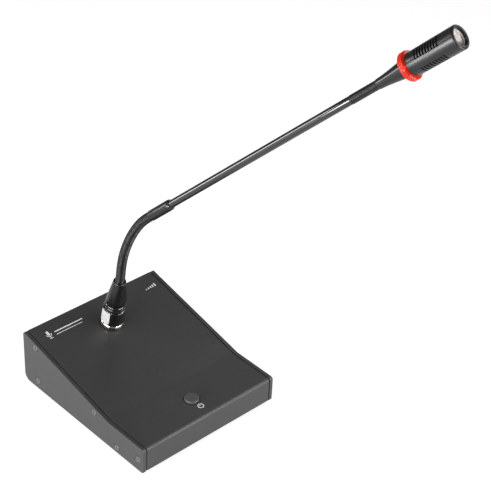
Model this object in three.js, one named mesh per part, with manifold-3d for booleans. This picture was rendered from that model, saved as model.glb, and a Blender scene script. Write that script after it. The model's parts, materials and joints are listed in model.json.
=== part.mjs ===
// Gooseneck desk microphone on a folded steel wedge base.
// Millimetres, +Z up. The front of the base faces -Y. The origin is the centre of the bottom
// plate's underside; the rubber feet stand 2.5 mm below it.
import * as THREE from 'three';
import { mergeVertices } from 'three/addons/utils/BufferGeometryUtils.js';
import Module from 'manifold-3d';

const wasm = await Module();
wasm.setup();

// ---- driving dimensions ----
const baseW = 130;            // across the two cheeks
const baseD = 145;            // front to back
const rearH = 46.5;           // top of the rear edge
const levelH = 22.6;          // top of the level front part
const kinkY = -32;            // where the slope meets the level part
const sheet = 1.5;            // steel sheet
const lip = 3;                // width of a cheek's in-turned lip
const seam = 0.6;             // gap between a cheek and the cover

const buttonY = -51.4;
const buttonR = 5.8;
const buttonProud = 1.8;      // above the panel
const buttonTravel = 1.5;

const plugY = 44.3;           // where the neck's plug stands on the slope
const plugR = 9.3;
const bootTo = 46.4;          // height along the plug's axis
const bootTopR = 4.85;

const hoseR = 3.75;           // lower flexible hose
const hoseBore = 2.2;         // the cable runs inside
const linkL = 11.4;
const linkCount = 6;
const firstPivot = 49.5;
const leanTurn = 21.8;        // the neck's plane, turned about the plug's axis
const bends = [-5, 4.5, 5.5, 5, 5.5, 7, 11.9];   // degrees at each lower pivot
const hoseEnd = 8.9;          // last pivot to the collar
const collarL = 24.4;
const collarR = 4.2;
const tubeR = 3.05;
const tubeTo = 211;           // first upper pivot, from the start of the collar
const upperR = 3.2;           // upper flexible section
const upperBore = 1.6;
const upperL = 7;
const sleeveFrom = 232;
const ringFrom = 256.8;
const ringL = 4;
const ringR = 10;
const barrelFrom = 261.1;
const barrelTo = 300;
const barrelR = 8.0;
const frontR = 8.3;
const slotFrom = 269.5;
const slotPitch = 2.25;
const slotWidth = 1.15;
const slotCount = 9;
const slotTurn = -4;          // degrees from the lean axis to the middle of a slot
const slotHalf = 37;          // half a slot's span, in degrees
const ballGap = 0.3;          // between a link's ball and the next link's cup

const slope = Math.atan2(rearH - levelH, baseD / 2 - kinkY);
const topAt = (y) => (y > kinkY ? levelH + (y - kinkY) * Math.tan(slope) : levelH);

// ---- materials ----
const metal = (color, roughness) => new THREE.MeshStandardMaterial({ color, roughness, metalness: 1 });
const plain = (color, roughness) => new THREE.MeshStandardMaterial({ color, roughness, metalness: 0 });
const powderCoat = plain(0x2b2c2e, 0.55);
const glossBlack = plain(0x0c0c0d, 0.15);
const satinBlack = plain(0x1c1d1f, 0.35);
const nickel = metal(0xcfc8bc, 0.2);
const zincSteel = metal(0xb9bcc0, 0.35);
const blackScrew = plain(0x161718, 0.3);
const rubber = plain(0x151515, 0.9);
const boardGreen = plain(0x1f5a35, 0.5);
const insulator = plain(0x101010, 0.5);
const copperTone = metal(0xb8793e, 0.35);
const redLight = plain(0xe2301c, 0.3);
const meshSilver = metal(0xcdbfb8, 0.4);

const object = new THREE.Group();

// ---- solids ----
function toSolid(geometry) {
  const g = geometry.index ? geometry.toNonIndexed() : geometry.clone();
  g.deleteAttribute('normal');
  g.deleteAttribute('uv');
  const merged = mergeVertices(g, 1e-4);
  const position = merged.attributes.position.array;
  const index = merged.index.array;
  const triangles = [];
  let volume = 0;
  const a = new THREE.Vector3();
  const b = new THREE.Vector3();
  const c = new THREE.Vector3();
  for (let i = 0; i < index.length; i += 3) {
    const [p, q, r] = [index[i], index[i + 1], index[i + 2]];
    if (p === q || q === r || p === r) continue;
    triangles.push(p, q, r);
    a.fromArray(position, p * 3);
    b.fromArray(position, q * 3);
    c.fromArray(position, r * 3);
    volume += a.dot(b.cross(c));
  }
  if (volume < 0) {
    for (let i = 0; i < triangles.length; i += 3) {
      [triangles[i], triangles[i + 1]] = [triangles[i + 1], triangles[i]];
    }
  }
  return new wasm.Manifold(new wasm.Mesh({
    numProp: 3,
    vertProperties: new Float32Array(position),
    triVerts: new Uint32Array(triangles),
  }));
}

function toGeometry(solid) {
  const mesh = solid.getMesh();
  const g = new THREE.BufferGeometry();
  g.setAttribute('position', new THREE.BufferAttribute(new Float32Array(mesh.vertProperties), 3));
  g.setIndex(new THREE.BufferAttribute(new Uint32Array(mesh.triVerts), 1));
  g.computeVertexNormals();
  return g;
}

const placed = (geometry, matrix) => toSolid(geometry.applyMatrix4(matrix));
const at = (x, y, z) => new THREE.Matrix4().makeTranslation(x, y, z);
const upright = new THREE.Matrix4().makeRotationX(Math.PI / 2);

const box = (x0, x1, y0, y1, z0, z1) => {
  const g = new THREE.BoxGeometry(x1 - x0, y1 - y0, z1 - z0);
  return placed(g, at((x0 + x1) / 2, (y0 + y1) / 2, (z0 + z1) / 2));
};

// A body turned about +Z from [radius, height] pairs; the profile closes on the axis or on itself.
const turned = (pairs, segments = 24, closed = false) => {
  const points = pairs.map(([r, h]) => new THREE.Vector2(r, h));
  if (closed) points.push(points[0].clone());
  return placed(new THREE.LatheGeometry(points, segments), upright);
};

const rod = (r, z0, z1, segments = 24) => turned([[0, z0], [r, z0], [r, z1], [0, z1]], segments);
const pipe = (r, inner, z0, z1, segments = 24) =>
  turned([[inner, z0], [r, z0], [r, z1], [inner, z1]], segments, true);

const moved = (solid, matrix) => placed(toGeometry(solid), matrix);
const joined = (first, ...rest) => rest.reduce((sum, s) => sum.add(s), first);
const cut = (first, ...rest) => rest.reduce((sum, s) => sum.subtract(s), first);

function part(name, solid, material, matrix) {
  const mesh = new THREE.Mesh(toGeometry(matrix ? moved(solid, matrix) : solid), material);
  mesh.name = name;
  object.add(mesh);
}

// A plate with the outline of [y, z] points, from x0 to x1.
const sidePlate = (points, x0, x1) => {
  const shape = new THREE.Shape(points.map(([y, z]) => new THREE.Vector2(y, z)));
  const g = new THREE.ExtrudeGeometry(shape, { depth: x1 - x0, bevelEnabled: false, curveSegments: 4 });
  const turn = new THREE.Matrix4().makeBasis(
    new THREE.Vector3(0, 1, 0), new THREE.Vector3(0, 0, 1), new THREE.Vector3(1, 0, 0));
  return placed(g.applyMatrix4(turn), at(x0, 0, 0));
};

// Rounds each corner [y, z, radius] of an outline into a few straight steps.
const rounded = (corners, steps = 4) => {
  const out = [];
  corners.forEach(([y, z, r], i) => {
    const before = corners[(i + corners.length - 1) % corners.length];
    const after = corners[(i + 1) % corners.length];
    const p = new THREE.Vector2(y, z);
    if (!r) {
      out.push([y, z]);
      return;
    }
    const u = new THREE.Vector2(before[0], before[1]).sub(p).normalize();
    const v = new THREE.Vector2(after[0], after[1]).sub(p).normalize();
    const half = Math.acos(u.dot(v)) / 2;
    const back = r / Math.tan(half);
    const start = p.clone().addScaledVector(u, back);
    const end = p.clone().addScaledVector(v, back);
    const curve = new THREE.QuadraticBezierCurve(start, p, end);
    curve.getPoints(steps).forEach((q) => out.push([q.x, q.y]));
  });
  return out;
};

// ---- base: outlines seen from the side ----
const front = -baseD / 2;
const rear = baseD / 2;
const outline = (inset, r) => {
  const kinkIn = kinkY + inset * Math.tan(slope / 2);
  const rearTop = rearH - inset / Math.cos(slope) - inset * Math.tan(slope);
  return rounded([
    [front + inset, inset, r.frontLow],
    [rear - inset, inset, r.rearLow],
    [rear - inset, rearTop, r.rearTop],
    [kinkIn, levelH - inset, 0],
    [front + inset, levelH - inset, r.frontTop],
  ]);
};

// ---- cheeks: a flat wall with a lip turned in all the way round ----
const cheekR = { frontLow: 1.8, rearLow: 6, rearTop: 2.5, frontTop: 2.5 };
const cheekInnerR = { frontLow: 1, rearLow: 4.5, rearTop: 1.5, frontTop: 1.5 };
const screwSpots = [[57.2, 38.6], [55.8, 7], [-14.7, 21.2], [-41.6, 4.6], [-66.8, 10.4]];
const alongX = new THREE.Matrix4().makeRotationY(Math.PI / 2);

const screwAt = ([y, z]) => new THREE.Matrix4().multiplyMatrices(at(-baseW / 2, y, z), alongX);
const cheek = cut(
  sidePlate(outline(0, cheekR), -baseW / 2, -baseW / 2 + lip),
  sidePlate(outline(sheet, cheekInnerR), -baseW / 2 + sheet, -baseW / 2 + lip + 1),
  ...screwSpots.map((spot) =>
    moved(turned([[0, -1], [3.3, -1], [3.3, 0.3], [1.9, 1.7], [1.9, 3], [0, 3]], 12), screwAt(spot))),
);
const mirror = new THREE.Matrix4().makeScale(-1, 1, 1);
part('left_cheek', cheek, powderCoat);
part('right_cheek', cheek, powderCoat, mirror);

const cheekScrew = turned([[0, 0], [2.7, 0], [2.7, 0.3], [1.35, 1.6], [1.35, 8], [0, 8]], 10);
screwSpots.forEach((spot, i) => {
  const matrix = screwAt(spot);
  part(`cheek_screw_left_${i + 1}`, cheekScrew, blackScrew, matrix);
  part(`cheek_screw_right_${i + 1}`, cheekScrew, blackScrew, mirror.clone().multiply(matrix));
});

// ---- panel frame: the neck's plug stands square on the slope ----
const plugAxis = new THREE.Vector3(0, -Math.sin(slope), Math.cos(slope));
const plugFoot = new THREE.Vector3(0, plugY, topAt(plugY));
const frameOf = (origin, zAxis, xHint) => {
  const z = zAxis.clone().normalize();
  const x = xHint.clone().addScaledVector(z, -xHint.dot(z)).normalize();
  const y = z.clone().cross(x);
  return new THREE.Matrix4().makeBasis(x, y, z).setPosition(origin);
};
const plugFrame = frameOf(plugFoot, plugAxis, new THREE.Vector3(1, 0, 0));

// ---- output socket place on the rear wall ----
const outX = 32;
const outZ = 22;
const rearward = new THREE.Matrix4().makeBasis(
  new THREE.Vector3(-1, 0, 0), new THREE.Vector3(0, 0, 1), new THREE.Vector3(0, 1, 0));
const outFrame = rearward.clone().setPosition(new THREE.Vector3(outX, rear, outZ));
const outHoles = [[-9.5, 12], [9.5, -12]];

// ---- top cover: rear wall, slope, level part and front in one bent sheet, with side flanges ----
const coverX = baseW / 2 - lip - seam;
const coverR = { frontLow: 0, rearLow: 0, rearTop: 2.2, frontTop: 2.6 };
const coverInnerR = { frontLow: 0, rearLow: 0, rearTop: 0.7, frontTop: 1.1 };
const wholeBand = cut(
  sidePlate(outline(0, coverR), -coverX, coverX),
  sidePlate(outline(sheet, coverInnerR), -coverX - 1, coverX + 1),
  box(-coverX - 1, coverX + 1, front + sheet, rear - sheet, -5, 5),
);
const flangeBand = cut(
  sidePlate(outline(sheet - 0.2, coverInnerR), -coverX, coverX),
  sidePlate(outline(9.5, { frontLow: 0, rearLow: 0, rearTop: 0, frontTop: 0 }), -coverX - 1, coverX + 1),
  box(-coverX + sheet, coverX - sheet, front, rear, 0, 60),
  box(-coverX - 1, coverX + 1, -60, 50.5, -1, 10.5),
  box(-coverX - 1, coverX + 1, 50, 80, -1, 12),
  box(-coverX - 1, coverX + 1, -80, 0, -1, 1.9),
);
const cover = cut(
  joined(wholeBand, flangeBand),
  box(-coverX - 1, coverX + 1, front - 1, rear + 1, -1, 1.2),
  ...[0, 2, 4].map((i) => {
    const [y, z] = screwSpots[i];
    return moved(rod(1.65, 0, baseW, 12), screwAt([y, z]));
  }),
  moved(rod(buttonR + 0.35, -10, 10, 32), at(0, buttonY, levelH)),
  moved(rod(9.2, -8, 8, 24), plugFrame),
  moved(rod(12.1, -8, 8, 24), outFrame),
  ...outHoles.map(([x, y]) => moved(moved(rod(1.8, -8, 8, 12), at(x, y, 0)), outFrame)),
);
part('top_cover', cover, powderCoat);

// ---- bottom plate: pressed middle panel, turned-up flanges, feet pushed through it ----
const footSpots = [[-50, -58], [50, -58], [-50, 56], [50, 56]];
const postSpots = [[-48, -30], [48, -30], [-48, 34], [48, 34]];
const plateY = rear - sheet - 0.4;
const bottom = cut(
  joined(
    box(-coverX, coverX, -plateY, plateY, 0, sheet),
    box(-coverX, -coverX + sheet, -60, 60, sheet - 0.2, 9.8),
    box(coverX - sheet, coverX, -60, 60, sheet - 0.2, 9.8),
  ),
  cut(box(-coverX - 1, coverX + 1, -plateY - 1, plateY + 1, -1, 0.2), box(-42, 38, -40, 40, -2, 1)),
  ...[1, 3].map((i) => moved(rod(1.65, 0, baseW, 12), screwAt(screwSpots[i]))),
  ...footSpots.map(([x, y]) => moved(rod(2.4, -5, 5, 16), at(x, y, 0))),
);
part('bottom_plate', bottom, powderCoat);

const foot = turned([
  [0, -2.5], [6.4, -2.5], [7, -1.9], [7, -0.1], [2.1, -0.1], [2.1, 1.8], [3.2, 1.8], [2.4, 3.4], [0, 3.4],
], 16);
footSpots.forEach(([x, y], i) => part(`foot_${i + 1}`, foot, rubber, at(x, y, 0)));

// ---- circuit board on posts, with its larger parts ----
const boardZ = 8.6;
const board = cut(
  box(-54, 54, -66, 40, boardZ, boardZ + 1.6),
  box(-60, 60, -70, -62, 0, 20),
  ...postSpots.map(([x, y]) => moved(rod(1.9, 0, 20, 12), at(x, y, 0))),
);
part('main_board', board, boardGreen);
postSpots.forEach(([x, y], i) => {
  const post = turned([
    [0, sheet + 0.3], [2.8, sheet + 0.3], [2.8, boardZ - 0.3], [1.5, boardZ - 0.3],
    [1.5, boardZ + 1.9], [2.6, boardZ + 1.9], [2.6, boardZ + 3.2], [0, boardZ + 3.2],
  ], 8);
  part(`board_post_${i + 1}`, post, zincSteel, at(x, y, 0));
});
const onBoard = boardZ + 1.9;
part('transformer', joined(
  box(-39, -21, -6, 12, onBoard, onBoard + 11),
  box(-36, -24, -8.5, 14.5, onBoard + 1, onBoard + 10),
), copperTone);
part('capacitor_1', rod(4, 0, 10, 20), satinBlack, at(22, -12, onBoard));
part('capacitor_2', rod(4, 0, 10, 20), satinBlack, at(34, -12, onBoard));
part('switch_body', joined(
  box(-6, 6, buttonY - 6, buttonY + 6, onBoard, onBoard + 3.2),
  moved(rod(3, 0, 1, 16), at(0, buttonY, onBoard + 3)),
), satinBlack);

// ---- talk button: a cap with a retaining rim and a short stem ----
const buttonTop = levelH + buttonProud;
const rimTop = levelH - sheet - 0.3;
const switchTop = onBoard + 4;
part('talk_button', turned([
  [0, switchTop + buttonTravel + 0.5], [1.2, switchTop + buttonTravel + 0.5],
  [1.2, rimTop - 1], [buttonR + 1.2, rimTop - 1], [buttonR + 1.2, rimTop],
  [buttonR, rimTop], [buttonR, buttonTop - 0.6], [buttonR - 0.5, buttonTop - 0.1],
  [buttonR - 1, buttonTop], [0, buttonTop - 0.25],
], 24), satinBlack, at(0, buttonY, 0));

class Helix extends THREE.Curve {
  constructor(radius, height, turns) {
    super();
    Object.assign(this, { radius, height, turns });
  }

  getPoint(t, target = new THREE.Vector3()) {
    const angle = t * this.turns * 2 * Math.PI;
    return target.set(
      this.radius * Math.cos(angle), this.radius * Math.sin(angle), this.height * t);
  }
}
const wire = new THREE.Shape();
wire.absarc(0, 0, 0.22, 0, 2 * Math.PI);
const springFoot = switchTop + 0.6;
const springTop = rimTop - 1.6;
const spring = new THREE.ExtrudeGeometry(wire, {
  steps: 35, curveSegments: 2, extrudePath: new Helix(2.4, springTop - springFoot, 3.5),
});
part('button_spring', toSolid(spring), zincSteel, at(0, buttonY, springFoot));

// ---- output socket on the rear wall: pin insert in a round shell, screwed to the sheet ----
const flange = placed(new THREE.ExtrudeGeometry(
  new THREE.Shape(rounded([[-13, -15.5, 3], [13, -15.5, 3], [13, 15.5, 3], [-13, 15.5, 3]])
    .map(([x, y]) => new THREE.Vector2(x, y))),
  { depth: 2.2, bevelEnabled: false },
), at(0, 0, 0.3));
part('output_shell', cut(
  joined(flange, rod(11.6, -20, 1, 24)),
  rod(9.3, -18, 4, 24),
  moved(rod(2.2, -19.9, 4, 12), at(0, 0, -3)),
  ...outHoles.map(([x, y]) => moved(rod(1.8, -8, 8, 12), at(x, y, 0))),
), satinBlack, outFrame);
const pins = [90, 210, 330].map((a) => [3.9 * Math.cos(a * Math.PI / 180), 3.9 * Math.sin(a * Math.PI / 180)]);
part('output_insert', joined(
  rod(9, -17.7, -14.5, 24),
  ...pins.map(([x, y]) => moved(turned([[0, -15], [1.2, -15], [1.2, -5], [0.7, -4.2], [0, -4.2]], 8), at(x, y, 0))),
), insulator, outFrame);
outHoles.forEach(([x, y], i) => {
  const screw = turned([[0, -7], [1.3, -7], [1.3, 2.8], [2.8, 2.8], [2.6, 3.8], [1.6, 4.3], [0, 4.4]], 14);
  part(`output_screw_${i + 1}`, moved(screw, at(x, y, 0)), blackScrew, outFrame);
});

// ---- panel socket that the neck plugs into ----
const socketR = 8.9;
const socketBore = 7.6;
part('socket_shell', cut(
  joined(
    rod(socketR, -21, 0.6, 24),
    rod(9.9, 0.3, 1.1, 24),
  ),
  rod(socketBore, -19, 5, 24),
  rod(2.2, -25, 0, 12),
), satinBlack, plugFrame);
part('socket_insert', joined(
  rod(socketBore - 0.3, -18.7, -16, 24),
  ...pins.map(([x, y]) =>
    moved(turned([[0, -16.5], [1.1, -16.5], [1.1, -7], [0.6, -6.2], [0, -6.2]], 8), at(x, y, 0))),
), insulator, plugFrame);
part('socket_nut', cut(rod(11.8, -4.6, -1.8, 6), rod(socketR + 0.3, -5, 0, 24)), nickel, plugFrame);

// ---- the neck's plug: barrel with a nose in the socket, ring, press tab, contact insert, boot ----
const noseR = 7.2;
const tabHalf = 4.6;
const tabFrom = 5;
const tabTo = 17.4;
const tabBack = 7.9;
const tabTravel = 0.8;
part('plug_barrel', cut(
  turned([
    [6.2, -14.2], [noseR, -14.2], [noseR, 1.6], [8.6, 1.6], [8.6, 4.1], [plugR, 4.1], [plugR, 17.2],
    [plugR - 0.6, 18.2], [8.2, 18.2], [8.2, 19], [8.5, 19], [8.5, 20.2], [8, 20.4], [8, 21], [8.3, 21.2],
    [8.3, 22.4], [7.8, 23], [7.8, 24.6], [6.2, 24.6],
  ], 24, true),
  box(-12, -tabBack + tabTravel + 0.2, -tabHalf - 0.3, tabHalf + 0.3, tabFrom - 0.3, tabTo + 0.3),
), glossBlack, plugFrame);
part('plug_ring', pipe(9.5, 8.9, 1.5, 3.8, 28), nickel, plugFrame);
const tab = cut(
  rod(plugR + 0.35, tabFrom, tabTo, 36),
  box(-tabBack, 20, -20, 20, 0, 30),
  box(-20, 20, tabHalf, 20, 0, 30),
  box(-20, 20, -20, -tabHalf, 0, 30),
);
part('plug_latch', tab, nickel, plugFrame);
part('plug_insert', cut(
  rod(5.9, -13.6, 4, 24),
  ...pins.map(([x, y]) => moved(rod(1.45, -15, -4, 12), at(x, y, 0))),
), insulator, plugFrame);
part('boot', turned([
  [4.3, 24.9], [7.9, 24.9], [7.8, 27], [7.2, 32], [5.8, 41], [5.2, 44.6],
  [bootTopR, bootTo], [4.4, bootTo], [4.3, 45.7],
], 24, true), satinBlack, plugFrame);

// ---- flexible hoses: short links, each with a ball that sits in the next link's cup ----
const arc = (r, from, to, steps, z) => {
  const points = [];
  for (let i = 0; i <= steps; i += 1) {
    const a = (from + (to - from) * i / steps) * Math.PI / 180;
    points.push([r * Math.cos(a), z + r * Math.sin(a)]);
  }
  return points;
};
const steepness = (x, r) => Math.acos(x / r) * 180 / Math.PI;
const cupOf = (r, bore) =>
  arc(r + ballGap, steepness(bore, r + ballGap), steepness(r, r + ballGap), 3, 0);
const ballOf = (r, bore, z) => arc(r, 0, steepness(bore, r), 3, z);
const linkOf = (r, bore, length) => turned([...cupOf(r, bore), ...ballOf(r, bore, length)], 16, true);

part('hose_root', turned(
  [[hoseBore, 30], [hoseR, 30], ...ballOf(hoseR, hoseBore, firstPivot)], 16, true,
), satinBlack, plugFrame);

const leanAxis = new THREE.Vector3(1, 0, 0)
  .applyAxisAngle(plugAxis, leanTurn * Math.PI / 180);
const pivot = plugFoot.clone().addScaledVector(plugAxis, firstPivot);
const direction = plugAxis.clone();
let frame = plugFrame;
bends.forEach((bend, i) => {
  direction.applyAxisAngle(leanAxis, bend * Math.PI / 180);
  frame = frameOf(pivot, direction, leanAxis);
  if (i < linkCount) {
    part(`lower_link_${i + 1}`, linkOf(hoseR, hoseBore, linkL), satinBlack, frame);
    pivot.addScaledVector(direction, linkL);
  }
});

// ---- rigid tube with its collar; heights from here on are counted from the collar's start ----
const neck = frameOf(pivot.clone().addScaledVector(direction, hoseEnd), direction, leanAxis);
const cupBelow = cupOf(hoseR, hoseBore).map(([x, z]) => [x, z - hoseEnd]);
part('neck_collar', turned([
  ...cupBelow, [hoseR, 0], [collarR - 0.2, 0.4], [collarR, 1.6], [collarR, collarL - 2.4],
  [tubeR + 0.4, collarL], [tubeR + 0.3, collarL], [tubeR + 0.3, 4], [hoseBore, 4],
], 20, true), satinBlack, neck);
part('neck_tube', turned([
  [hoseBore, 4.3], [tubeR, 4.3], [tubeR, tubeTo - 3], [upperR, tubeTo - 2.6],
  ...ballOf(upperR, upperBore, tubeTo), [hoseBore, tubeTo - 4],
], 16, true), satinBlack, neck);

const up = (z) => new THREE.Matrix4().multiplyMatrices(neck, at(0, 0, z));
part('upper_link_1', linkOf(upperR, upperBore, upperL), satinBlack, up(tubeTo));
part('upper_link_2', linkOf(upperR, upperBore, upperL), satinBlack, up(tubeTo + upperL));

// ---- head: flared sleeve, light ring, slotted barrel, capsule behind a mesh ----
const lastPivot = tubeTo + 2 * upperL;
const sleeveEnd = ringFrom - 0.3;
const lightBoard = 4.4;
part('head_sleeve', turned([
  ...cupOf(upperR, upperBore).map(([x, z]) => [x, z + lastPivot]), [upperR, sleeveFrom],
  [upperR + 0.35, sleeveFrom + 0.4], [3.9, sleeveFrom + 4], [4.7, sleeveFrom + 10],
  [5.6, sleeveFrom + 17], [6.1, sleeveEnd - 1], [6.1, sleeveEnd],
  [3.2, sleeveEnd], [3.2, barrelFrom - 0.3], [upperBore, barrelFrom - 0.3],
], 20, true), satinBlack, neck);
part('light_board', pipe(lightBoard + 1.8, 3.5, ringFrom + 0.3, ringFrom + 1.5, 24), boardGreen, neck);
part('light_ring', turned([
  [6.6, ringFrom], [ringR - 0.7, ringFrom], [ringR, ringFrom + 0.6], [ringR, ringFrom + 1.5],
  [ringR - 0.6, ringFrom + 2], [ringR, ringFrom + 2.5], [ringR, ringFrom + 3.4],
  [ringR - 0.7, ringFrom + ringL], [6.6, ringFrom + ringL],
], 28, true), redLight, neck);

const wall = 1.2;
const slotArc = (turn) => {
  const shape = new THREE.Shape();
  const half = slotHalf * Math.PI / 180;
  shape.absarc(0, 0, frontR + 2, turn - half, turn + half, false);
  shape.absarc(0, 0, barrelR - wall - 1.5, turn + half, turn - half, true);
  return new THREE.ExtrudeGeometry(shape, { depth: slotWidth, bevelEnabled: false, curveSegments: 3 });
};
const slots = [];
for (let row = 0; row < 3; row += 1) {
  const turn = (row * 120 + slotTurn) * Math.PI / 180;
  for (let i = 0; i < slotCount; i += 1) {
    slots.push(placed(slotArc(turn), at(0, 0, slotFrom + i * slotPitch - slotWidth / 2)));
  }
}
part('head_barrel', cut(
  turned([
    [3, barrelFrom], [barrelR - 0.5, barrelFrom], [barrelR, barrelFrom + 0.5], [barrelR, slotFrom - 3],
    [frontR, barrelTo - 0.8], [frontR - 0.5, barrelTo - 0.1], [frontR - 1.2, barrelTo],
    [6.1, barrelTo], [5.9, barrelTo - 0.3], [5.9, barrelTo - 1.6], [barrelR - wall, barrelTo - 2.2],
    [barrelR - wall, barrelFrom + 1.5], [3, barrelFrom + 1.5],
  ], 28, true),
  ...slots,
), satinBlack, neck);
part('capsule', turned([
  [0, barrelTo - 10], [4.7, barrelTo - 10], [4.9, barrelTo - 9.7], [4.9, barrelTo - 4], [4.5, barrelTo - 3.7],
  [0, barrelTo - 3.7],
], 24), zincSteel, neck);
part('capsule_holder', pipe(6.4, 5.2, barrelTo - 9, barrelTo - 4.2, 24), rubber, neck);
part('front_grille', rod(6.4, barrelTo - 3.3, barrelTo - 2.5, 24), meshSilver, neck);

export default object;
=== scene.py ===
# Gooseneck desk microphone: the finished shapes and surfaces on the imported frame.
import json
import math

import bpy
from mathutils import Matrix, Vector

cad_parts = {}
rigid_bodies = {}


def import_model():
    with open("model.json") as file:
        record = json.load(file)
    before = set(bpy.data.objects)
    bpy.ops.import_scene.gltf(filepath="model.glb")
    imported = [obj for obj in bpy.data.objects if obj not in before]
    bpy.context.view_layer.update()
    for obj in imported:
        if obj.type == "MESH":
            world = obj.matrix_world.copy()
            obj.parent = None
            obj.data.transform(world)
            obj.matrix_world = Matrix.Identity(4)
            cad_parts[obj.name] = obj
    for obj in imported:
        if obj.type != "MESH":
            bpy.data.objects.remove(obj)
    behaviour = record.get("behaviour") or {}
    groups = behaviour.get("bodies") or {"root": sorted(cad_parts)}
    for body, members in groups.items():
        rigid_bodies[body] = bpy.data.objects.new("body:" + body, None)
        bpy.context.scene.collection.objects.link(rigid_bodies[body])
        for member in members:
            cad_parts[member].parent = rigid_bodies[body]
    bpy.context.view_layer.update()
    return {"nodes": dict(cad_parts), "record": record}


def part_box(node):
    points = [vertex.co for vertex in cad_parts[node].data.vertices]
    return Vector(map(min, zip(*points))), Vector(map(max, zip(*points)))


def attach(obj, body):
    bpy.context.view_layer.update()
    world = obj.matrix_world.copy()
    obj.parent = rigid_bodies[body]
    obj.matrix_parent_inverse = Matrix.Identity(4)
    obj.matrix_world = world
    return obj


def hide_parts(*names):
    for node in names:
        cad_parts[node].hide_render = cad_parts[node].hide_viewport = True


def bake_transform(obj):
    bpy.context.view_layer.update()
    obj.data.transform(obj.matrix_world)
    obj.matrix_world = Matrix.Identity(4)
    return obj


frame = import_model()


# ---- Studio ----
# A softly glowing white sweep in a dim room. A long strip box hangs high on the left, two boxes stand
# low at the left and front, one behind draws the neck's streak, and small ones at the right lift the
# near end of the top and its front bend. A long lens looks down on the front left corner.
bpy.ops.object.select_all(action="DESELECT")
floor_z = min(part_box(f"foot_{i}")[0][2] for i in (1, 2, 3, 4))
bpy.ops.mesh.primitive_plane_add(size=8.0, location=(0, 0, floor_z))
studio_floor = bpy.context.object
studio_floor.name = "studio_floor"
floor_paint = bpy.data.materials.new("white_sweep")
floor_paint.use_nodes = True
floor_shader = floor_paint.node_tree.nodes["Principled BSDF"]
floor_shader.inputs["Base Color"].default_value = (0.5, 0.5, 0.5, 1)
floor_shader.inputs["Roughness"].default_value = 0.9
floor_shader.inputs["Specular IOR Level"].default_value = 0.1
floor_shader.inputs["Emission Color"].default_value = (1, 1, 1, 1)
sweep = floor_paint.node_tree
sweep_ray = sweep.nodes.new("ShaderNodeLightPath")
sweep_level = sweep.nodes.new("ShaderNodeMapRange")
sweep_level.inputs["To Min"].default_value = 0.45
sweep_level.inputs["To Max"].default_value = 0.75
sweep.links.new(sweep_ray.outputs["Is Camera Ray"], sweep_level.inputs["Value"])
sweep.links.new(sweep_level.outputs["Result"], floor_shader.inputs["Emission Strength"])
studio_floor.data.materials.append(floor_paint)

world = bpy.data.worlds.new("white_room")
world.use_nodes = True
room = world.node_tree
room.nodes["Background"].inputs["Color"].default_value = (1, 1, 1, 1)
ray = room.nodes.new("ShaderNodeLightPath")
room_level = room.nodes.new("ShaderNodeMapRange")  # dim as a light, white where it is seen
room_level.inputs["To Min"].default_value = 0.08
room_level.inputs["To Max"].default_value = 1.0
room.links.new(ray.outputs["Is Camera Ray"], room_level.inputs["Value"])
room.links.new(room_level.outputs["Result"], room.nodes["Background"].inputs["Strength"])
bpy.context.scene.world = world


def soft_box(name, location, target, width, height, watts):
    bpy.ops.object.light_add(type="AREA", location=location)
    box = bpy.context.object
    box.name = name
    box.data.shape = "RECTANGLE"
    box.data.size = width
    box.data.size_y = height
    box.data.energy = watts
    box.rotation_euler = (Vector(target) - Vector(location)).to_track_quat("-Z", "Y").to_euler()


soft_box("key_box", (-0.8, -0.02, 1.2), (0, -0.05, 0.18), 1.3, 0.13, 5.0)
soft_box("left_box", (-1.3, -0.1, 0.17), (0, 0, 0.08), 1.2, 0.34, 28)
soft_box("front_box", (0.45, -1.4, 0.17), (0, 0, 0.08), 1.2, 0.34, 19)
soft_box("streak_box", (-0.9, 0.97, 0.3), (0.02, -0.08, 0.2), 0.3, 0.5, 5.6)
soft_box("fill_box", (0.32, -0.12, 0.34), (0.06, -0.08, 0.05), 0.25, 0.25, 0.4)
soft_box("rear_box", (0.75, 0.8, 0.8), (0, -0.08, 0.02), 0.5, 0.5, 0.8)
soft_box("bend_box", (0.87, -0.85, 0.88), (0, -0.06, 0.02), 0.5, 0.3, 5.6)

bpy.ops.object.camera_add(
    location=(-0.5771, -0.6894, 0.7503),
    rotation=(math.radians(55.546), math.radians(-2.296), math.radians(-42.895)),
)
camera = bpy.context.object
camera.name = "product_camera"
camera.data.sensor_fit = "VERTICAL"
camera.data.sensor_height = 36.0
camera.data.lens = 106.76
bpy.context.scene.camera = camera
bpy.context.scene.view_settings.view_transform = "Standard"


# ---- Bent steel cover ----
# One 1.5 mm sheet: rear wall, slope, level part and front in a single bend line after another.
# It is powder coated a fine-grained satin charcoal after the holes are punched.
MM = 0.001
SHEET = 1.5 * MM
cover_low, cover_high = (Vector(c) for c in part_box("top_cover"))
LEVEL = 0.0226
KINK_Y = -0.032


def only(piece):
    """Makes piece the one selected and active object."""
    bpy.ops.object.select_all(action="DESELECT")
    bpy.context.view_layer.objects.active = piece
    piece.select_set(True)


def pick(piece, kind, test):
    """Leaves piece in edit mode with only the vertices, edges or faces that pass the test selected."""
    only(piece)
    bpy.ops.object.mode_set(mode="EDIT")
    bpy.ops.mesh.select_mode(type=kind)
    bpy.ops.mesh.select_all(action="DESELECT")
    bpy.ops.object.mode_set(mode="OBJECT")
    mesh = piece.data
    if kind == "VERT":
        for vertex in mesh.vertices:
            vertex.select = test(vertex.co)
    elif kind == "EDGE":
        for edge in mesh.edges:
            edge.select = test(*(mesh.vertices[i].co for i in edge.vertices))
    else:
        for face in mesh.polygons:
            face.select = test(face.center, face.normal)
    bpy.ops.object.mode_set(mode="EDIT")


def done():
    """Ends what pick began."""
    bpy.ops.object.mode_set(mode="OBJECT")


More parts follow.
